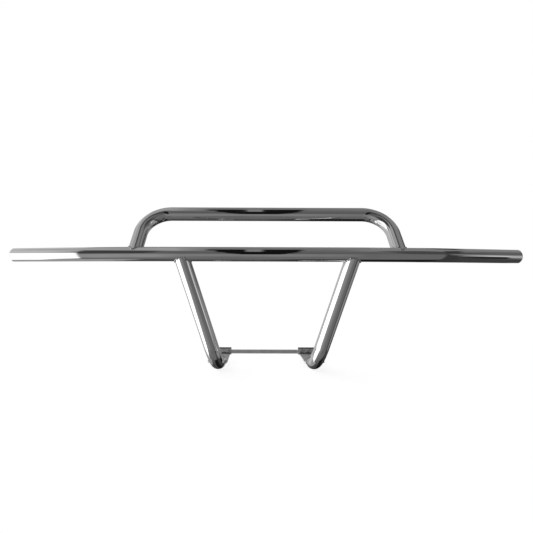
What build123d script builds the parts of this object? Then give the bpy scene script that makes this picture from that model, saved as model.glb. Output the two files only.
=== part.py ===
"""Front grille guard for a van or light truck.

A welded tubular guard: a long main bar with swept-back ends, a hoop that leans back above it and
two legs that drop to a pair of chassis brackets, which a thin tie bar holds apart.

Units are millimetres. +Z is up, -Y is the front of the vehicle and +X is the right-hand side of
someone who looks at the guard from the front. The origin is the centre of the four chassis bolt
holes, on the seating plane under the bracket plates.
"""

from build123d import *
from math import cos, radians, sin, tan
import os

# ---- main bar ----
BAR_RADIUS = 21.0
BAR_FORWARD = 255.0  # bar axis ahead of the bolt pattern
BAR_HEIGHT = 334.0  # bar axis above the seating plane
BAR_END_X = 784.0  # half length, measured at the cut end of the tube
BAR_CORNER_X = 400.0  # where the centre and end straights would meet
BAR_SWEEP_DEG = 16.5  # how far each end turns back
BAR_TILT_DEG = 1.4  # how far the plane of the bends tips up towards the back
BAR_BEND_RADIUS = 1100.0

# ---- upper hoop ----
HOOP_RADIUS = 21.0
HOOP_BASE_X = 387.0
HOOP_TOP_X = 372.0  # where the leg and top straights would meet
HOOP_RISE = 130.0
HOOP_LEAN_BACK = 89.0
HOOP_BEND_RADIUS = 88.0

# ---- legs ----
LEG_RADIUS = 22.5
LEG_TOP_X = 250.5
LEG_FOOT_X = 150.0
LEG_LEAN_BACK = 88.0
LEG_BEND_RADIUS = 85.0
LEG_FOOT_END_Y = -95.0  # rear end of the tube, just behind its bend
LEG_START_DROP = 9.0  # the cut end starts this far below the bar axis

TUBE_WALL = 2.0

# ---- bar end caps and drain holes ----
CAP_RADIUS = 19.5
CAP_THICKNESS = 3.0
CAP_EDGE_RADIUS = 1.2
DRAIN_RADIUS = 4.0
DRAIN_INSET = 60.0  # from the tube end, along X

# ---- chassis brackets ----
PLATE_THICKNESS = 5.0
PLATE_INNER_X = 123.0
PLATE_OUTER_X = 185.0
PLATE_FRONT_Y = -110.0
PLATE_REAR_Y = 75.0
PLATE_CORNER_RADIUS = 4.0
BOLT_RADIUS = 6.5  # clearance for M12
BOLT_SPACING_Y = 80.0
FLANGE_INNER_X = 118.0  # the flange runs a little past the plate, towards the middle
FLANGE_THICKNESS = 5.0
FLANGE_HEIGHT = 25.0
FLANGE_EDGE_RADIUS = 1.5

# ---- tie bar ----
TIE_RADIUS = 7.0
TIE_OVERLAP = 36.0  # how far it runs behind each flange
TIE_HEIGHT = 9.0  # its axis above the seating plane
TIE_CHAMFER = 1.0

# ---- weld beads ----
TUBE_WELD = 3.5
PLATE_WELD = 3.0
TIE_WELD = 4.0
CAP_WELD = 2.0

PLATE_WIDTH = PLATE_OUTER_X - PLATE_INNER_X
PLATE_CENTRE_X = PLATE_INNER_X + PLATE_WIDTH / 2
FOOT_AXIS_Z = PLATE_THICKNESS / 2
BAR_CENTRE = Vector(0, -BAR_FORWARD, BAR_HEIGHT)


# ---- paths ----
def behind_centre(x, back):
    """A point in the plane of the bar's bends."""
    tilt = radians(BAR_TILT_DEG)
    return BAR_CENTRE + Vector(x, back * cos(tilt), back * sin(tilt))


def bar_point(x):
    """Where the straight-line skeleton of the bar is at a given X."""
    return behind_centre(x, max(0.0, abs(x) - BAR_CORNER_X) * tan(radians(BAR_SWEEP_DEG)))


def bar_path():
    skeleton = [bar_point(x) for x in (-BAR_END_X, -BAR_CORNER_X, BAR_CORNER_X, BAR_END_X)]
    return FilletPolyline(*skeleton, radius=BAR_BEND_RADIUS)


def bar_axis_at(x):
    """The real bar axis at a given X, on the bend as well as on the centre straight."""
    half_bend = BAR_BEND_RADIUS * tan(radians(BAR_SWEEP_DEG) / 2)
    into_bend = max(0.0, abs(x) - (BAR_CORNER_X - half_bend))
    return behind_centre(x, BAR_BEND_RADIUS - (BAR_BEND_RADIUS**2 - into_bend**2) ** 0.5)


def hoop_path():
    base = bar_axis_at(HOOP_BASE_X)
    corner = Vector(HOOP_TOP_X, base.Y + HOOP_LEAN_BACK, base.Z + HOOP_RISE)
    right = [base, corner]
    left = [Vector(-point.X, point.Y, point.Z) for point in reversed(right)]
    return FilletPolyline(*right, *left, radius=HOOP_BEND_RADIUS)


def leg_path(start_drop, end_y):
    """Right-hand leg, from a little below the bar axis, round the knee and back to end_y."""
    top = bar_axis_at(LEG_TOP_X)
    knee = Vector(LEG_FOOT_X, top.Y + LEG_LEAN_BACK, FOOT_AXIS_Z)
    down = knee - top
    start = top + down * (start_drop / abs(down.Z))
    end = Vector(LEG_FOOT_X, end_y, FOOT_AXIS_Z)
    return FilletPolyline(start, knee, end, radius=LEG_BEND_RADIUS)


# ---- shape helpers ----
def rod_along(path, radius):
    """Solid round bar along a path."""
    section = Plane(path @ 0, z_dir=path % 0) * Circle(radius)
    return sweep(section, path=path, transition=Transition.RIGHT)


def tube_along(path, radius):
    """Round tube along a path."""
    section = Plane(path @ 0, z_dir=path % 0) * (Circle(radius) - Circle(radius - TUBE_WALL))
    return sweep(section, path=path, transition=Transition.RIGHT)


def mirrored(shape):
    return mirror(shape, about=Plane.YZ)


def largest_solid(shape):
    """Keeps the main solid and drops the offcuts that a saddle cut leaves."""
    return max(shape.solids(), key=lambda solid: solid.volume)


# ---- tubes ----
def make_main_bar(path):
    bar = tube_along(path, BAR_RADIUS)
    for side in (-1, 1):
        below = bar_point(side * (BAR_END_X - DRAIN_INSET)) - Vector(0, 0, BAR_RADIUS)
        bar -= Pos(below) * Cylinder(DRAIN_RADIUS, BAR_RADIUS)
    return bar


def bar_end_plane():
    """The cut face at the right-hand end of the bar, facing outwards."""
    outward = bar_point(BAR_END_X) - bar_point(BAR_CORNER_X)
    return Plane(bar_point(BAR_END_X), z_dir=outward)


def make_end_cap():
    """Right-hand cap: a disc that closes the cut end of the bar and leaves a step for its weld."""
    disc = Cylinder(CAP_RADIUS, CAP_THICKNESS, align=(Align.CENTER, Align.CENTER, Align.MIN))
    disc = fillet(disc.edges().group_by(Axis.Z)[-1], CAP_EDGE_RADIUS)
    return bar_end_plane() * disc


def make_hoop(path, bar_solid):
    return largest_solid(tube_along(path, HOOP_RADIUS) - bar_solid)


def make_leg(path, bar_solid, plate_blank):
    """Right-hand leg: saddle cut at the top, slotted at the foot for the bracket plate."""
    return largest_solid(tube_along(path, LEG_RADIUS) - bar_solid - plate_blank)


# ---- brackets ----
def plate_outline():
    """Right-hand plate without holes."""
    length = PLATE_REAR_Y - PLATE_FRONT_Y
    centre = Pos(PLATE_CENTRE_X, (PLATE_REAR_Y + PLATE_FRONT_Y) / 2, PLATE_THICKNESS / 2)
    return centre * Box(PLATE_WIDTH, length, PLATE_THICKNESS)


def make_bracket_plate():
    plate = plate_outline()
    front_corners = plate.edges().filter_by(Axis.Z).group_by(Axis.Y)[0]
    plate = fillet(front_corners, PLATE_CORNER_RADIUS)
    for y in (-BOLT_SPACING_Y / 2, BOLT_SPACING_Y / 2):
        plate -= Pos(PLATE_CENTRE_X, y, PLATE_THICKNESS / 2) * Cylinder(BOLT_RADIUS, 2 * PLATE_THICKNESS)
    return plate


def make_flange():
    """Right-hand upright strip, butted on the rear edge of the plate."""
    width = PLATE_OUTER_X - FLANGE_INNER_X
    centre = Pos(FLANGE_INNER_X + width / 2, PLATE_REAR_Y + FLANGE_THICKNESS / 2, FLANGE_HEIGHT / 2)
    strip = centre * Box(width, FLANGE_THICKNESS, FLANGE_HEIGHT)
    return fillet(strip.edges().filter_by(Axis.X).group_by(Axis.Z)[-1], FLANGE_EDGE_RADIUS)


def tie_bar_y():
    return PLATE_REAR_Y + FLANGE_THICKNESS + TIE_RADIUS


def make_tie_bar():
    length = 2 * (FLANGE_INNER_X + TIE_OVERLAP)
    bar = Rot(0, 90, 0) * Cylinder(TIE_RADIUS, length)
    bar = chamfer(bar.edges().filter_by(GeomType.CIRCLE), TIE_CHAMFER)
    return Pos(0, tie_bar_y(), TIE_HEIGHT) * bar


# ---- welds ----
def make_cap_weld():
    """Right-hand bead in the step between the end cap and the edge of the bar."""
    on_end = (Align.CENTER, Align.CENTER, Align.MIN)
    bead = Cone(BAR_RADIUS, CAP_RADIUS, CAP_WELD, align=on_end)
    return bar_end_plane() * (bead - Cylinder(CAP_RADIUS, CAP_WELD, align=on_end))


def saddle_weld(bar_wire, bar_solid, branch_wire, branch_radius):
    """Bead round a saddle joint: the space that is close to both tubes and inside neither."""
    near_bar = rod_along(bar_wire, BAR_RADIUS + TUBE_WELD)
    near_branch = rod_along(branch_wire, branch_radius + TUBE_WELD)
    branch = rod_along(branch_wire, branch_radius)
    return (near_bar & near_branch) - branch - bar_solid


def make_slot_weld():
    """Right-hand beads where the bracket plate sits in the slotted foot of the leg."""
    foot_path = leg_path(LEG_START_DROP, LEG_FOOT_END_Y)
    weld_path = leg_path(LEG_START_DROP, LEG_FOOT_END_Y + PLATE_WELD)
    foot = rod_along(foot_path, LEG_RADIUS)
    bore = rod_along(weld_path, LEG_RADIUS - TUBE_WALL)
    near_foot = rod_along(weld_path, LEG_RADIUS + PLATE_WELD)
    plate = plate_outline()
    near_plate = offset(plate, PLATE_WELD, kind=Kind.INTERSECTION)
    return (near_plate & near_foot) - plate - foot - bore


def make_flange_weld():
    """Right-hand bead in the corner between the plate and the flange."""
    corner_y = PLATE_REAR_Y
    corner_z = PLATE_THICKNESS
    profile = Plane.YZ * Polygon(
        (corner_y, corner_z),
        (corner_y, corner_z + PLATE_WELD),
        (corner_y - PLATE_WELD, corner_z),
        align=None,
    )
    return Pos(PLATE_INNER_X, 0, 0) * extrude(profile, PLATE_WIDTH)


def make_tie_weld(tie_bar):
    """Right-hand beads above and below the tie bar, against the back of the flange."""
    flange_back = PLATE_REAR_Y + FLANGE_THICKNESS
    centre = Pos(FLANGE_INNER_X + TIE_OVERLAP / 2, flange_back + TIE_WELD / 2, TIE_HEIGHT)
    block = centre * Box(TIE_OVERLAP - 2 * TIE_CHAMFER, TIE_WELD, 2 * (TIE_RADIUS - TIE_CHAMFER))
    return block - tie_bar


# ---- assembly ----
def build_parts():
    bar_wire = bar_path()
    bar_solid = rod_along(bar_wire, BAR_RADIUS)
    hoop_wire = hoop_path()
    leg_wire = leg_path(LEG_START_DROP, LEG_FOOT_END_Y)
    hoop_welds = saddle_weld(bar_wire, bar_solid, hoop_wire, HOOP_RADIUS)
    weld_wire = leg_path(LEG_START_DROP - TUBE_WELD, LEG_FOOT_END_Y)
    leg_weld = saddle_weld(bar_wire, bar_solid, weld_wire, LEG_RADIUS)
    tie_bar = make_tie_bar()

    parts = {
        "main_bar": make_main_bar(bar_wire),
        "upper_hoop": make_hoop(hoop_wire, bar_solid),
        "tie_bar": tie_bar,
    }
    right_hand = {
        "end_cap": make_end_cap(),
        "leg": make_leg(leg_wire, bar_solid, plate_outline()),
        "bracket_plate": make_bracket_plate(),
        "bracket_flange": make_flange(),
        "cap_weld": make_cap_weld(),
        "hoop_weld": max(hoop_welds.solids(), key=lambda bead: bead.center().X),
        "leg_weld": largest_solid(leg_weld),
        "slot_weld": make_slot_weld(),
        "flange_weld": make_flange_weld(),
        "tie_weld": make_tie_weld(tie_bar),
    }
    for name, shape in right_hand.items():
        parts[name + "_right"] = shape
        parts[name + "_left"] = mirrored(shape)
    return parts


os.makedirs("parts", exist_ok=True)
for part_name, part_shape in build_parts().items():
    export_step(part_shape, f"parts/{part_name}.step")
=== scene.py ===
"""Front grille guard, dressed for rendering: fine tube meshes, rippled welds and procedural metals."""

import math

import bmesh
import bpy
from mathutils import Matrix, Vector


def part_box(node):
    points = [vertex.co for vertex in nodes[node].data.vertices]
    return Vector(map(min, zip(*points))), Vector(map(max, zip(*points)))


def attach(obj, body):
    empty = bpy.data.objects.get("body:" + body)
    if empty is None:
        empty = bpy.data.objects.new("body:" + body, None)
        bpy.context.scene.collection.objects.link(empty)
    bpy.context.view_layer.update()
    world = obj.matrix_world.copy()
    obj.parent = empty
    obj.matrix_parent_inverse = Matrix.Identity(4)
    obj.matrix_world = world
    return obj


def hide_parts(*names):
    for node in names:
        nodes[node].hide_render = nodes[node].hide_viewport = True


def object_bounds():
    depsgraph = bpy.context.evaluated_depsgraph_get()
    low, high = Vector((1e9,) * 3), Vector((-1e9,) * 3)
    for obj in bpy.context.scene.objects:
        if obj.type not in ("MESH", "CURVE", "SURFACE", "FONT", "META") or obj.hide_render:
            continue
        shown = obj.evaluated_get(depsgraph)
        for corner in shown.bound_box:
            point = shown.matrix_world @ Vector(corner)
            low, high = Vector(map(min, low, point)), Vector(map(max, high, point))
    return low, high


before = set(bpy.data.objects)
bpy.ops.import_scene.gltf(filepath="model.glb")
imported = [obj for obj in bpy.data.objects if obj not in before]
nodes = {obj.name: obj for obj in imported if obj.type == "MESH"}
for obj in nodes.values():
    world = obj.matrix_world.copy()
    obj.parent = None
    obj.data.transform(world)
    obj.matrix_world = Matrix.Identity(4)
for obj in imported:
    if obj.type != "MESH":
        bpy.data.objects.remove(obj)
cad_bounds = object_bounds()

MM = 0.001

# ---- driving sizes of the frame, in metres ----
BAR_RADIUS = 21.0 * MM
BAR_AXIS = Vector((0.0, -255.0, 334.0)) * MM
BAR_END_X = 784.0 * MM
BAR_CORNER_X = 400.0 * MM
BAR_SWEEP = math.radians(16.5)
BAR_TILT = math.radians(1.4)  # the plane of the bends tips up towards the back
BAR_BEND_RADIUS = 1100.0 * MM

HOOP_RADIUS = 20.9 * MM  # a hair under the CAD tube, to stay inside the box of its faceted mesh
HOOP_BASE_X = 387.0 * MM
HOOP_TOP_X = 372.0 * MM
HOOP_RISE = 130.0 * MM
HOOP_LEAN_BACK = 89.0 * MM
HOOP_BEND_RADIUS = 88.0 * MM

LEG_RADIUS = 22.5 * MM
LEG_TOP_X = 250.5 * MM
LEG_FOOT_X = 150.0 * MM
LEG_LEAN_BACK = 88.0 * MM
LEG_BEND_RADIUS = 85.0 * MM
LEG_END_Y = -95.0 * MM
LEG_START_DROP = 9.0 * MM
FOOT_AXIS_Z = 2.5 * MM

TUBE_WALL = 2.0 * MM

# ---- mesh detail ----
AROUND = 96  # faces round a tube
ARC_STEP = math.radians(3.0)
MIN_ARC_STEPS = 8
BAR_FACE = 0.03  # longest face along the main bar
BRANCH_FACE = 0.02  # and along the hoop and the legs
RIM_RINGS = 12  # rings of the bore that show behind the open end of a leg
SINK = 1.0 * MM  # how far the cut end of a branch reaches into the bar
FIRST_SIDE = Vector((0.0, 0.3, 1.0))  # a slant that no tube starts along

# ---- weld beads ----
TUBE_BEAD = 3.0 * MM
SLOT_BEAD = 2.2 * MM
SLOT_FRONT_Y = -111.0 * MM
SLOT_REAR_Y = -93.0 * MM
FLANGE_BEAD = 2.4 * MM
FLANGE_BEAD_INSET = 2 * MM
TIE_BEAD = 2.2 * MM
TIE_BEAD_INSET = 1 * MM
TIE_BEAD_INSET_Z = 1.5 * MM
BEAD_SIDES = 14
BEAD_SIDE = Vector((0.31, 0.52, 0.79))  # a slant that no bead runs along
BEAD_TIP = 0.02  # share of full size, squared, at the tip of an open bead
RIPPLE_PITCH = 2.6 * MM
RIPPLE_DEPTH = 0.35 * MM
RINGS_PER_RIPPLE = 5
WANDER = ((0.4 * MM, 0.37, 0.0), (0.2 * MM, 0.113, 1.0))  # size, turn per ring and start of two slow waves

# ---- finish and painted shade ----
FLANGE_SHADE_FROM = 22.5 * MM  # height at which the painted shade along the top edge of the bracket flanges starts
PLATE_SHADE_FROM = 56.0 * MM  # how far back the painted shade on the bracket plates starts, near the foot of the flanges
PLATE_EDGE = 0.5 * MM
FLANGE_EDGE = 0.4 * MM
EDGE_ANGLE = math.radians(40)  # sharper corners than this are broken


# ---------------------------------------------------------------- paths
def rounded(corners, radius):
    """Points along a skeleton whose corners are rounded to one radius."""
    points = [corners[0]]
    for before, corner, after in zip(corners, corners[1:], corners[2:]):
        back = (before - corner).normalized()
        ahead = (after - corner).normalized()
        turn = math.pi - back.angle(ahead)
        reach = radius * math.tan(turn / 2)
        start = corner + back * reach
        middle = corner + (back + ahead).normalized() * radius / math.cos(turn / 2)
        axis = back.cross(ahead).normalized()
        steps = max(MIN_ARC_STEPS, round(turn / ARC_STEP))
        for i in range(steps + 1):
            swing = Matrix.Rotation(-turn * i / steps, 3, axis)
            points.append(middle + swing @ (start - middle))
    points.append(corners[-1])
    return points


def behind_centre(x, back):
    """A point in the plane of the bar's bends."""
    return BAR_AXIS + Vector((x, back * math.cos(BAR_TILT), back * math.sin(BAR_TILT)))


def bar_point(x):
    """Where the straight-line skeleton of the bar is at a given X."""
    return behind_centre(x, max(0.0, abs(x) - BAR_CORNER_X) * math.tan(BAR_SWEEP))


def into_bend(x):
    """How far along X a place on the bar is past the start of its bend, or 0 on the straight middle."""
    half_bend = BAR_BEND_RADIUS * math.tan(BAR_SWEEP / 2)
    return max(0.0, abs(x) - (BAR_CORNER_X - half_bend))


def bar_axis_at(x):
    """Bar axis at a given X, on its straight middle or its bend."""
    return behind_centre(x, BAR_BEND_RADIUS - math.sqrt(BAR_BEND_RADIUS**2 - into_bend(x)**2))


def bar_direction_at(x):
    angle = math.copysign(math.asin(into_bend(x) / BAR_BEND_RADIUS), x)
    back = math.sin(angle)
    return Vector((math.cos(angle), back * math.cos(BAR_TILT), back * math.sin(BAR_TILT)))


def bar_path():
    corners = [bar_point(x) for x in (-BAR_END_X, -BAR_CORNER_X, BAR_CORNER_X, BAR_END_X)]
    return rounded(corners, BAR_BEND_RADIUS)


def hoop_skeleton():
    base = bar_axis_at(HOOP_BASE_X)
    corner = Vector((HOOP_TOP_X, base.y + HOOP_LEAN_BACK, base.z + HOOP_RISE))
    return [base, corner, flipped(corner), flipped(base)]


def leg_skeleton(side):
    top = bar_axis_at(LEG_TOP_X)
    knee = Vector((LEG_FOOT_X, top.y + LEG_LEAN_BACK, FOOT_AXIS_Z))
    end = Vector((LEG_FOOT_X, LEG_END_Y, FOOT_AXIS_Z))
    return sided([top, knee, end], side)


def flipped(point):
    return Vector((-point.x, point.y, point.z))


def sided(points, side):
    """Points given for the right-hand side, as they are or mirrored to the left."""
    return points if side > 0 else [flipped(p) for p in points]


# ---------------------------------------------------------------- meshes
def new_piece(name, bm, smooth=True):
    mesh = bpy.data.meshes.new(name)
    bmesh.ops.recalc_face_normals(bm, faces=bm.faces)
    bm.to_mesh(mesh)
    bm.free()
    if smooth:
        mesh.shade_smooth()
    piece = bpy.data.objects.new(name, mesh)
    bpy.context.scene.collection.objects.link(piece)
    return piece


def ring_frames(points):
    """A pair of axes square to the path at every point, turned as little as possible from one to the next."""
    tangents = []
    for i in range(len(points)):
        ahead = points[min(i + 1, len(points) - 1)] - points[max(i - 1, 0)]
        tangents.append(ahead.normalized())
    side = tangents[0].cross(FIRST_SIDE).normalized()
    frames = []
    for tangent in tangents:
        side = (side - tangent * side.dot(tangent)).normalized()
        frames.append((side, tangent.cross(side)))
    return frames


def spaced(points, longest):
    """The same path with long runs split, so that faces stay near square enough for smooth shading."""
    out = [points[0]]
    for a, b in zip(points, points[1:]):
        count = max(1, math.ceil((b - a).length / longest))
        out.extend(a.lerp(b, i / count) for i in range(1, count + 1))
    return out


def curvatures(points):
    """How tightly a path bends at each of its points, in 1/metres."""
    out = [0.0]
    for before, point, after in zip(points, points[1:], points[2:]):
        step = ((after - point).length + (point - before).length) / 2
        out.append((point - before).angle(after - point) / step)
    return out + [0.0]


def add_tube(bm, points, radius):
    """Skins a path with rings of vertices, and marks each ring with how far it is bent."""
    bend = bm.verts.layers.float.get("bend") or bm.verts.layers.float.new("bend")
    rings = []
    for point, curvature, (side, up) in zip(points, curvatures(points), ring_frames(points)):
        ring = []
        for k in range(AROUND):
            angle = 2 * math.pi * k / AROUND
            vert = bm.verts.new(point + (side * math.cos(angle) + up * math.sin(angle)) * radius)
            vert[bend] = min(1.0, curvature * HOOP_BEND_RADIUS)
            ring.append(vert)
        rings.append(ring)
    for ring_a, ring_b in zip(rings, rings[1:]):
        bridge(bm, ring_a, ring_b)
    return rings


def bridge(bm, ring_a, ring_b):
    count = len(ring_a)
    for k in range(count):
        k2 = (k + 1) % count
        bm.faces.new((ring_a[k], ring_a[k2], ring_b[k2], ring_b[k]))


def plain_tube(name, points, radius):
    bm = bmesh.new()
    add_tube(bm, spaced(points, BAR_FACE), radius)
    return new_piece(name, bm)


def saddle(top, direction, offset, start_drop):
    """Where a line beside a branch axis leaves the bar, as a distance from top along direction."""
    bar_dir = bar_direction_at(top.x)
    start = offset - bar_dir * offset.dot(bar_dir)
    run = direction - bar_dir * direction.dot(bar_dir)
    a = run.dot(run)
    b = start.dot(run)
    c = start.dot(start) - BAR_RADIUS**2
    leaves = (-b + math.sqrt(max(0.0, b * b - a * c))) / a
    return max(leaves, start_drop / abs(direction.z))


def branch_tube(name, skeleton, bend_radius, radius, start_drop=0.0, open_end=False):
    """A tube whose start, and end unless it is open, is cut to sit on the main bar."""
    points = rounded(skeleton, bend_radius)
    top = points[0]
    direction = (points[1] - points[0]).normalized()
    points = [top, top + direction * 2 * radius] + points[1:]
    if not open_end:
        last = points[-1]
        back = (points[-2] - last).normalized()
        points = points[:-1] + [last + back * 2 * radius, last]
    points = points[:2] + spaced(points[1:-1], BRANCH_FACE)[1:] + points[-1:]
    bm = bmesh.new()
    rings = add_tube(bm, points, radius)
    cut_ring(rings[0], top, direction, start_drop)
    if open_end:
        rim = add_tube(bm, points[-RIM_RINGS:], radius - TUBE_WALL)
        bridge(bm, rings[-1], rim[-1])
    else:
        cut_ring(rings[-1], points[-1], (points[-2] - points[-1]).normalized(), start_drop)
    return new_piece(name, bm)


def cut_ring(ring, top, direction, start_drop):
    """Slides each vertex of an end ring along the branch until it is just inside the bar."""
    for vert in ring:
        offset = vert.co - top
        offset -= direction * offset.dot(direction)
        vert.co = top + offset + direction * (saddle(top, direction, offset, start_drop) - SINK)


def saddle_curve(top, direction, radius, start_drop, count=240):
    """The closed line where a branch meets the surface of the bar."""
    side = direction.cross(bar_direction_at(top.x)).normalized()
    up = direction.cross(side)
    bar_dir = bar_direction_at(top.x)
    points = []
    for k in range(count):
        angle = 2 * math.pi * k / count
        offset = (side * math.cos(angle) + up * math.sin(angle)) * radius
        place = offset + direction * saddle(top, direction, offset, start_drop)
        along = bar_dir * place.dot(bar_dir)
        outward = place - along
        outward *= min(1.0, BAR_RADIUS / outward.length)
        points.append(top + along + outward)
    return points


# ---------------------------------------------------------------- weld beads
def evenly(points, step, closed):
    """The same line with points a fixed distance apart."""
    line = points + [points[0]] if closed else points
    total = sum((b - a).length for a, b in zip(line, line[1:]))
    count = max(4, round(total / step))
    out = []
    walked = 0.0
    wanted = 0.0
    for a, b in zip(line, line[1:]):
        length = (b - a).length
        while length > 0 and wanted <= walked + length + 1e-9 and len(out) < count + (0 if closed else 1):
            out.append(a.lerp(b, (wanted - walked) / length))
            wanted += total / count
        walked += length
    return out


def add_bead(bm, line, radius, closed):
    """A weld bead along a line: overlapping ripples, and rounded ends if the line is open."""
    step = RIPPLE_PITCH / RINGS_PER_RIPPLE
    points = evenly(line, step, closed)
    count = len(points)
    rings = []
    for i, point in enumerate(points):
        before = points[i - 1] if closed or i > 0 else points[i]
        after = points[(i + 1) % count] if closed or i < count - 1 else points[i]
        tangent = (after - before).normalized()
        side = tangent.cross(BEAD_SIDE).normalized()
        up = tangent.cross(side)
        phase = (i * step / RIPPLE_PITCH) % 1.0
        wander = sum(size * math.sin(i * rate + start) for size, rate, start in WANDER)
        size = radius + wander - RIPPLE_DEPTH * phase
        if not closed:
            from_end = min(i, count - 1 - i) * step
            size *= math.sqrt(min(1.0, from_end / radius + BEAD_TIP))
        ring = []
        for k in range(BEAD_SIDES):
            angle = 2 * math.pi * k / BEAD_SIDES
            ring.append(bm.verts.new(point + (side * math.cos(angle) + up * math.sin(angle)) * size))
        rings.append(ring)
    pairs = list(zip(rings, rings[1:]))
    if closed:
        pairs.append((rings[-1], rings[0]))
    for a, b in pairs:
        bridge(bm, a, best_turn(a, b))
    if not closed:
        bm.faces.new(rings[0])
        bm.faces.new(list(reversed(rings[-1])))


def best_turn(ring_a, ring_b):
    """Ring b, started at the vertex nearest to the first one of ring a."""
    start = min(range(len(ring_b)), key=lambda k: (ring_b[k].co - ring_a[0].co).length)
    return ring_b[start:] + ring_b[:start]


def bead_piece(name, lines, radius, closed=False):
    bm = bmesh.new()
    for line in lines:
        add_bead(bm, line, radius, closed)
    return new_piece(name, bm)


# ---------------------------------------------------------------- materials
def material(name, **sockets):
    """A metal with its uniform values set on the shader itself."""
    mat = bpy.data.materials.new(name)
    mat.use_nodes = True
    shader = mat.node_tree.nodes["Principled BSDF"]
    for socket, value in sockets.items():
        shader.inputs[socket.replace("_", " ")].default_value = value
    return mat, mat.node_tree, shader


def feed(tree, sockets, values):
    """Sets each socket to a number, or links it to the output of another node."""
    for socket, value in zip(sockets, values):
        if isinstance(value, (int, float)):
            socket.default_value = value
        else:
            tree.links.new(value, socket)


def maths(tree, operation, *values, clamp=False):
    node = tree.nodes.new("ShaderNodeMath")
    node.operation = operation
    node.use_clamp = clamp
    feed(tree, node.inputs, values)
    return node.outputs[0]


def multiplied(tree, a, b):
    """The product of two colours."""
    node = tree.nodes.new("ShaderNodeVectorMath")
    node.operation = "MULTIPLY"
    tree.links.new(a, node.inputs[0])
    tree.links.new(b, node.inputs[1])
    return node.outputs[0]


def noise(tree, scale, detail=4.0, stretch=(1, 1, 1), roughness=0.55):
    where = tree.nodes.new("ShaderNodeTexCoord")
    mapping = tree.nodes.new("ShaderNodeMapping")
    mapping.inputs["Scale"].default_value = stretch
    texture = tree.nodes.new("ShaderNodeTexNoise")
    texture.inputs["Scale"].default_value = scale
    texture.inputs["Detail"].default_value = detail
    texture.inputs["Roughness"].default_value = roughness
    tree.links.new(where.outputs["Object"], mapping.inputs["Vector"])
    tree.links.new(mapping.outputs["Vector"], texture.inputs["Vector"])
    return texture.outputs["Fac"]


def ramp(tree, source, stops):
    """Turns a number into a colour. Each stop is the number, and a grey level or a colour."""
    node = tree.nodes.new("ShaderNodeValToRGB")
    elements = node.color_ramp.elements
    while len(elements) < len(stops):
        elements.new(0.5)
    for element, (position, value) in zip(elements, stops):
        element.position = position
        element.color = value if isinstance(value, tuple) else (value, value, value, 1.0)
    tree.links.new(source, node.inputs["Fac"])
    return node.outputs["Color"]


def bump(tree, shader, layers):
    """Stacks bump layers of (height, strength, distance); a strength may vary over the surface."""
    below = None
    for height, strength, distance in layers:
        node = tree.nodes.new("ShaderNodeBump")
        if isinstance(strength, float):
            node.inputs["Strength"].default_value = strength
        else:
            tree.links.new(strength, node.inputs["Strength"])
        node.inputs["Distance"].default_value = distance
        tree.links.new(height, node.inputs["Height"])
        if below is not None:
            tree.links.new(below, node.inputs["Normal"])
        below = node.outputs["Normal"]
    tree.links.new(below, shader.inputs["Normal"])


def polished_steel():
    """Mirror-polished tube: faint smears, a slight waviness, and ripples where it is bent."""
    mat, tree, shader = material("polished_steel", Metallic=1.0)
    tone = ramp(tree, noise(tree, 9.0), [(0.3, (0.68, 0.68, 0.69, 1)), (0.7, (0.75, 0.75, 0.755, 1))])
    tree.links.new(tone, shader.inputs["Base Color"])
    smears = noise(tree, 22.0, 6.0)
    tree.links.new(ramp(tree, smears, [(0.35, 0.015), (0.7, 0.06)]), shader.inputs["Roughness"])
    bent = tree.nodes.new("ShaderNodeAttribute")
    bent.attribute_name = "bend"
    ripples = maths(tree, "MULTIPLY", bent.outputs["Fac"], 0.7)
    bump(tree, shader, [(noise(tree, 12.0, 1.0), 0.08, 0.002), (noise(tree, 15.0, 0.5), ripples, 0.004)])
    return mat


def rolled_steel(name, axis, shade_from):
    """Dull mottled mill finish of the brackets, with painted shade beyond a distance along one axis."""
    mat, tree, shader = material(name, Metallic=0.35)
    mottle = noise(tree, 110.0, 6.0, roughness=0.7)
    tone = ramp(tree, mottle, [(0.38, 0.34), (0.5, 0.70), (0.62, 0.92)])
    where = tree.nodes.new("ShaderNodeTexCoord")
    split = tree.nodes.new("ShaderNodeSeparateXYZ")
    tree.links.new(where.outputs["Object"], split.inputs[0])
    # painted shade: the colour turns dark past shade_from along the axis, with a wavering edge
    wavering = maths(tree, "ADD", split.outputs[axis], maths(tree, "MULTIPLY", mottle, 2 * MM))
    painted_shade = ramp(tree, maths(tree, "MULTIPLY", wavering, 1.0 / shade_from), [(0.94, 1.0), (1.0, 0.2)])
    tree.links.new(multiplied(tree, tone, painted_shade), shader.inputs["Base Color"])
    scratches = noise(tree, 400.0, 4.0, stretch=(1.0, 0.06, 1.0))
    tree.links.new(ramp(tree, scratches, [(0.35, 0.38), (0.7, 0.62)]), shader.inputs["Roughness"])
    bump(tree, shader, [(mottle, 0.25, 0.0006), (scratches, 0.15, 0.0002)])
    return mat


def drawn_steel():
    """Satin tie bar with drawing lines along its length."""
    mat, tree, shader = material("tie_bar_steel", Metallic=0.8)
    lines = noise(tree, 500.0, 4.0, stretch=(0.015, 1.0, 1.0))
    blotches = noise(tree, 35.0, 5.0)
    tree.links.new(ramp(tree, blotches, [(0.3, 0.80), (0.7, 0.97)]), shader.inputs["Base Color"])
    tree.links.new(ramp(tree, lines, [(0.3, 0.26), (0.7, 0.42)]), shader.inputs["Roughness"])
    bump(tree, shader, [(lines, 0.2, 0.0003)])
    return mat


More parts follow.
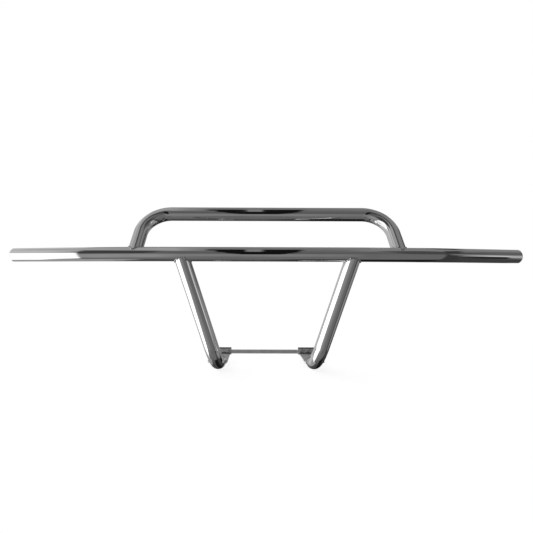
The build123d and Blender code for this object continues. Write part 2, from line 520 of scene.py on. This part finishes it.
def weld_metal():
    """Brushed weld beads with a mottled grain."""
    mat, tree, shader = material("weld_metal", Metallic=1.0)
    grain = noise(tree, 220.0, 6.0, roughness=0.65)
    tree.links.new(ramp(tree, grain, [(0.3, 0.25), (0.5, 0.55), (0.7, 0.85)]), shader.inputs["Base Color"])
    tree.links.new(ramp(tree, noise(tree, 150.0), [(0.3, 0.15), (0.7, 0.35)]), shader.inputs["Roughness"])
    bump(tree, shader, [(grain, 0.35, 0.0005)])
    return mat


def scale_and_shade_weld():
    """Weld left as it was laid: black with scale, and darker still as painted shade of the corner under the
    flanges.
    """
    mat, tree, shader = material("scale_and_shade_weld", Metallic=0.3)
    scale = noise(tree, 180.0, 5.0)
    tree.links.new(ramp(tree, scale, [(0.3, 0.01), (0.55, 0.05), (0.75, 0.16)]), shader.inputs["Base Color"])
    tree.links.new(ramp(tree, scale, [(0.3, 0.7), (0.7, 0.4)]), shader.inputs["Roughness"])
    bump(tree, shader, [(scale, 0.4, 0.0005)])
    return mat


MATERIALS = {
    "polished_steel": polished_steel(),
    # flanges: painted shade along their top edge
    "flange_steel": rolled_steel("flange_steel", "Z", FLANGE_SHADE_FROM),
    # plates: painted shade at the foot of the flanges
    "plate_steel": rolled_steel("plate_steel", "Y", PLATE_SHADE_FROM),
    "tie_bar_steel": drawn_steel(),
    "weld_metal": weld_metal(),
    "scale_and_shade_weld": scale_and_shade_weld(),
}


def dress(piece, slot_name, *replaced, look=None):
    """Gives a piece its material, fixes it to the frame and hides the CAD nodes it stands for."""
    piece.data.materials.clear()
    piece.data.materials.append(MATERIALS[look or slot_name])
    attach(piece, "root")
    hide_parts(*replaced)


def dress_node(name, look, bevel=0.0):
    """A better material, and softly broken edges, for a CAD node whose shape is right."""
    node = nodes[name]
    for material_slot in node.material_slots:
        material_slot.material = MATERIALS[look]
    if bevel:
        modifier = node.modifiers.new("broken_edges", "BEVEL")
        modifier.width = bevel
        modifier.segments = 2
        modifier.limit_method = "ANGLE"
        modifier.angle_limit = EDGE_ANGLE
        modifier.harden_normals = True


# ---------------------------------------------------------------- the guard
def build_guard():
    dress(plain_tube("main_bar_tube", bar_path(), BAR_RADIUS), "polished_steel", "main_bar")

    hoop_points = hoop_skeleton()
    hoop = branch_tube("upper_hoop_tube", hoop_points, HOOP_BEND_RADIUS, HOOP_RADIUS)
    dress(hoop, "polished_steel", "upper_hoop")

    for side, hand in ((1, "right"), (-1, "left")):
        leg_points = leg_skeleton(side)
        leg = branch_tube(
            f"leg_tube_{hand}", leg_points, LEG_BEND_RADIUS, LEG_RADIUS, LEG_START_DROP, open_end=True
        )
        dress(leg, "polished_steel", f"leg_{hand}")

        hoop_top = sided(hoop_points[:2], side)
        joints = (
            ("hoop_weld", hoop_top, HOOP_RADIUS, 0.0),
            ("leg_weld", leg_points[:2], LEG_RADIUS, LEG_START_DROP),
        )
        for weld, (top, toward), radius, start_drop in joints:
            line = saddle_curve(top, (toward - top).normalized(), radius, start_drop)
            bead = bead_piece(f"{weld}_bead_{hand}", [line], TUBE_BEAD, closed=True)
            dress(bead, "weld_metal", f"{weld}_{hand}")

        slot_x = math.sqrt(LEG_RADIUS**2 - FOOT_AXIS_Z**2)
        slot_lines = []
        for x in (LEG_FOOT_X - slot_x, LEG_FOOT_X + slot_x):
            for z in (0.0, 2 * FOOT_AXIS_Z):
                line = [Vector((x, y, z)) for y in (SLOT_FRONT_Y, SLOT_REAR_Y)]
                slot_lines.append(sided(line, side))
        dress(bead_piece(f"slot_weld_bead_{hand}", slot_lines, SLOT_BEAD), "weld_metal", f"slot_weld_{hand}")

        low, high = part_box(f"flange_weld_{hand}")
        line = [Vector((x, high.y, low.z)) for x in (low.x + FLANGE_BEAD_INSET, high.x - FLANGE_BEAD_INSET)]
        bead = bead_piece(f"flange_weld_bead_{hand}", [line], FLANGE_BEAD)
        # the flange bead is painted near black: its scale, and the painted shade of the corner under the
        # flange
        dress(bead, "weld_metal", f"flange_weld_{hand}", look="scale_and_shade_weld")

        low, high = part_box(f"tie_weld_{hand}")
        lines = []
        y = low.y + TIE_BEAD_INSET
        for z in (low.z + TIE_BEAD_INSET_Z, high.z - TIE_BEAD_INSET_Z):
            lines.append([Vector((x, y, z)) for x in (low.x + TIE_BEAD_INSET, high.x - TIE_BEAD_INSET)])
        dress(bead_piece(f"tie_weld_bead_{hand}", lines, TIE_BEAD), "weld_metal", f"tie_weld_{hand}")

        dress_node(f"end_cap_{hand}", "polished_steel")
        dress_node(f"cap_weld_{hand}", "weld_metal")
        dress_node(f"bracket_plate_{hand}", "plate_steel", bevel=PLATE_EDGE)
        dress_node(f"bracket_flange_{hand}", "flange_steel", bevel=FLANGE_EDGE)
    dress_node("tie_bar", "tie_bar_steel")


# ---------------------------------------------------------------- studio
CAMERA_DISTANCE = 1.400  # from the middle of the main bar
CAMERA_DROP = 0.0884  # below the bar axis
CAMERA_ASIDE = -0.040  # to the left of the middle
CAMERA_PITCH = math.radians(2.18)
CAMERA_YAW = math.radians(-0.28)
CAMERA_ROLL = math.radians(0.17)
CAMERA_LENS = 32.83
CAMERA_SENSOR = 36.0
CAMERA_SHIFT = 0.0195
FLOOR_GAP = 0.002
FLOOR_HALF_SIZE = 30.0
FLOOR_TONE = 0.75
FLOOR_GLOW = 0.80
SOFTBOX_X = -1.5
SOFTBOX_Y = (-2.1, 0.2)  # from its front edge to its rear edge
SOFTBOX_Z = (-1.3, 0.6)
SOFTBOX_STRENGTH = 1.42


def add_camera():
    data = bpy.data.cameras.new("camera")
    data.lens = CAMERA_LENS
    data.sensor_width = CAMERA_SENSOR
    data.shift_x = CAMERA_SHIFT
    camera = bpy.data.objects.new("camera", data)
    bpy.context.scene.collection.objects.link(camera)
    place = BAR_AXIS + Vector((CAMERA_ASIDE, -CAMERA_DISTANCE, -CAMERA_DROP))
    turn = (
        Matrix.Rotation(CAMERA_YAW, 4, "Z")
        @ Matrix.Rotation(math.pi / 2 + CAMERA_PITCH, 4, "X")
        @ Matrix.Rotation(CAMERA_ROLL, 4, "Z")
    )
    camera.matrix_world = Matrix.Translation(place) @ turn
    bpy.context.scene.camera = camera


def add_softbox():
    """A tall soft light to the left, which reaches only the legs, the brackets and the tie bar."""
    bm = bmesh.new()
    front, rear = SOFTBOX_Y
    low, high = SOFTBOX_Z
    corners = [(front, low), (rear, low), (rear, high), (front, high)]
    bm.faces.new([bm.verts.new((SOFTBOX_X, y, z)) for y, z in corners])
    softbox = new_piece("softbox", bm, smooth=False)
    mat = bpy.data.materials.new("softbox_cloth")
    mat.use_nodes = True
    tree = mat.node_tree
    glow = tree.nodes.new("ShaderNodeEmission")
    glow.inputs["Strength"].default_value = SOFTBOX_STRENGTH
    clear = tree.nodes.new("ShaderNodeBsdfTransparent")
    both = tree.nodes.new("ShaderNodeAddShader")
    tree.links.new(glow.outputs[0], both.inputs[0])
    tree.links.new(clear.outputs[0], both.inputs[1])
    tree.links.new(both.outputs[0], tree.nodes["Material Output"].inputs["Surface"])
    softbox.data.materials.append(mat)
    softbox.visible_camera = False
    lit = bpy.data.collections.new("lit_by_softbox")
    lit.objects.link(nodes["tie_bar"])
    for hand in ("left", "right"):
        lit.objects.link(bpy.data.objects[f"leg_tube_{hand}"])
        lit.objects.link(nodes[f"bracket_plate_{hand}"])
        lit.objects.link(nodes[f"bracket_flange_{hand}"])
    softbox.light_linking.receiver_collection = lit


def add_floor():
    """A white floor just under the guard, which the polished tube doesn't mirror."""
    bm = bmesh.new()
    bmesh.ops.create_grid(bm, x_segments=1, y_segments=1, size=FLOOR_HALF_SIZE)
    floor = new_piece("floor", bm, smooth=False)
    floor.location.z = cad_bounds[0][2] - FLOOR_GAP
    mat = bpy.data.materials.new("pale_floor")
    mat.use_nodes = True
    shader = mat.node_tree.nodes["Principled BSDF"]
    shader.inputs["Base Color"].default_value = (FLOOR_TONE, FLOOR_TONE, FLOOR_TONE, 1.0)
    shader.inputs["Roughness"].default_value = 1.0
    shader.inputs["Specular IOR Level"].default_value = 0.0
    shader.inputs["Emission Color"].default_value = (1.0, 1.0, 1.0, 1.0)
    shader.inputs["Emission Strength"].default_value = FLOOR_GLOW
    floor.data.materials.append(mat)
    floor.visible_glossy = False
    floor.visible_diffuse = False


def mix(tree, share, a, b):
    """Number a, turned into b by a share from 0 to 1."""
    node = tree.nodes.new("ShaderNodeMix")
    node.data_type = "FLOAT"
    feed(tree, node.inputs[:1] + node.inputs[2:4], (share, a, b))
    return node.outputs[0]


def band(tree, value, low, high, soft):
    """1 where value lies between low and high, fading to 0 over soft outside it."""
    above = maths(tree, "MULTIPLY_ADD", value, 1.0 / soft, 1.0 - low / soft, clamp=True)
    below = maths(tree, "MULTIPLY_ADD", value, -1.0 / soft, 1.0 + high / soft, clamp=True)
    return maths(tree, "MULTIPLY", above, below)


# Brightness of the walls against height, from straight down to straight up
FRONT_WALL = [
    (0.0, 0.15), (0.05, 0.20), (0.11, 0.16), (0.18, 0.22), (0.32, 0.27), (0.50, 0.25), (0.54, 0.15),
    (0.62, 0.13), (0.78, 0.15), (0.90, 0.17), (1.0, 0.21),
]
REAR_WALL = [
    (0.0, 0.15), (0.03, 0.08), (0.20, 0.07), (0.30, 0.12), (0.38, 0.30), (0.50, 0.45), (0.63, 0.42),
    (0.75, 0.34), (0.88, 0.25), (0.97, 0.27), (1.0, 0.21),
]

# What stands in front of the walls, painted in this order: brightness, softness of the edges, and the
# part of the view it fills. x points right, y away from the camera and z up. turn is in degrees from
# the camera, positive to the right. left and right are along the swept ends of the bar.
ROOM_PANELS = [
    (0.42, 0.10, {"x": (-1.0, -0.18), "z": (0.82, 1.0)}),  # pale ceiling, left
    (0.26, 0.12, {"x": (0.30, 1.0), "y": (-0.6, 1.0), "z": (0.78, 0.95)}),  # and right
    (0.50, 0.12, {"x": (-1.0, -0.52), "y": (0.0, 1.0), "z": (0.2, 0.95)}),  # pale wall, rear left
    (0.66, 0.03, {"left": (0.58, 0.74), "z": (0.28, 0.72)}),  # lit wall above the window
    (0.62, 0.15, {"x": (-1.0, -0.45), "y": (0.1, 1.0), "z": (-0.45, 0.2)}),  # pale wall behind it
    (0.40, 0.05, {"x": (-1.0, -0.35), "y": (0.1, 1.0), "z": (-0.95, -0.50)}),  # and its foot
    (0.22, 0.15, {"x": (0.40, 1.0), "y": (0.2, 1.0), "z": (-0.3, 0.3)}),  # grey wall, rear right
    (0.05, 0.08, {"x": (0.72, 1.0), "y": (0.25, 0.6), "z": (0.20, 0.55)}),  # dark shelf on it
    (0.06, 0.10, {"turn": (-60.0, -26.0), "left": (-1.0, 0.565), "z": (0.22, 0.70)}),  # shelf, front left
    (0.08, 0.10, {"turn": (36.0, 62.0), "z": (0.24, 0.74)}),  # and front right
    (0.17, 0.20, {"x": (0.30, 1.0), "y": (-1.0, 0.0), "z": (-0.8, 0.0)}),  # low cupboards, right
    (0.34, 0.30, {"turn": (-60.0, -26.0), "z": (-0.62, -0.15)}),  # glow of the window on the floor
    (0.012, 0.10, {"x": (0.12, 0.66), "y": (0.0, 1.0), "z": (-1.0, -0.45)}),  # dark corner, rear right
    (0.018, 0.06, {"right": (0.605, 1.1), "z": (-1.0, -0.80)}),  # dark doorway, right
    (0.060, 0.06, {"right": (0.62, 1.1), "z": (-0.80, -0.30)}),  # with something pale in it
    (0.010, 0.04, {"right": (0.67, 1.1), "z": (-0.48, -0.28)}),  # and dark above that
    (0.24, 0.05, {"right": (0.78, 1.1), "z": (-1.0, -0.78)}),  # pale floor in front of it
    (0.05, 0.02, {"right": (0.575, 0.62), "z": (-0.85, 0.75)}),  # its frame
    (0.30, 0.06, {"x": (0.83, 1.0), "y": (-0.20, 0.4), "z": (-0.62, 0.10)}),  # grey door behind it
    (0.22, 0.06, {"turn": (55.5, 71.5), "z": (0.02, 0.28)}),  # glow of the lamp
    (0.80, 0.05, {"turn": (59.0, 76.0), "z": (-0.10, 0.05)}),  # lamp beyond the doorway
    (0.50, 0.008, {"right": (0.704, 0.78), "z": (-0.40, 0.02)}),  # bright strip under it
    (1.45, 0.012, {"left": (0.586, 1.1), "y": (-1.0, 0.25), "z": (-0.76, 0.33)}),  # tall window, left
    (0.008, 0.012, {"x": (-0.091, 0.095), "y": (-1.0, 0.0), "z": (0.84, 0.970)}),  # dark stand, narrow below
    (0.008, 0.012, {"x": (-0.071, 0.089), "y": (-1.0, 0.0), "z": (0.48, 0.85)}),
    (0.008, 0.012, {"x": (-0.051, 0.079), "y": (-1.0, 0.0), "z": (0.22, 0.49)}),
    (0.008, 0.012, {"x": (-0.039, 0.063), "y": (-1.0, 0.0), "z": (0.03, 0.23)}),
    (0.008, 0.012, {"x": (-0.027, 0.051), "y": (-1.0, 0.1), "z": (-0.08, 0.04)}),
    (0.26, 0.008, {"x": (-0.013, 0.015), "y": (-1.0, 0.0), "z": (0.62, 0.985)}),  # gap in the stand
]
BACKDROP = 1.0  # the plain backdrop that the camera itself sees


def add_room():
    """The room that the polished tube mirrors."""
    world = bpy.data.worlds.new("room")
    bpy.context.scene.world = world
    world.use_nodes = True
    tree = world.node_tree
    background = tree.nodes["Background"]
    background.inputs["Color"].default_value = (1.0, 1.0, 1.0, 1.0)
    where = tree.nodes.new("ShaderNodeTexCoord")
    split = tree.nodes.new("ShaderNodeSeparateXYZ")
    tree.links.new(where.outputs["Generated"], split.inputs[0])
    x, y, z = split.outputs
    turn = maths(tree, "ARCTAN2", x, maths(tree, "MULTIPLY", y, -1.0))
    along_x = maths(tree, "MULTIPLY", x, math.cos(BAR_SWEEP))
    along_y = maths(tree, "MULTIPLY", y, math.sin(BAR_SWEEP))
    left = maths(tree, "SUBTRACT", along_y, along_x)
    right = maths(tree, "ADD", along_y, along_x)
    axes = {"x": x, "y": y, "z": z, "turn": turn, "left": left, "right": right}

    height = maths(tree, "MULTIPLY_ADD", z, 0.5, 0.5)
    behind = band(tree, y, 0.05, 2.0, 0.1)
    seen = mix(tree, behind, ramp(tree, height, FRONT_WALL), ramp(tree, height, REAR_WALL))
    for brightness, softness, ranges in ROOM_PANELS:
        cover = 1.0
        for axis, (low, high) in ranges.items():
            if axis == "turn":
                low, high = math.radians(low), math.radians(high)
            cover = maths(tree, "MULTIPLY", band(tree, axes[axis], low, high, softness), cover)
        seen = mix(tree, cover, seen, brightness)

    path = tree.nodes.new("ShaderNodeLightPath")
    seen = mix(tree, path.outputs["Is Camera Ray"], seen, BACKDROP)
    tree.links.new(seen, background.inputs["Strength"])


build_guard()
add_camera()
add_floor()
add_softbox()
add_room()
bpy.context.scene.view_settings.view_transform = "Standard"

bpy.context.view_layer.update()
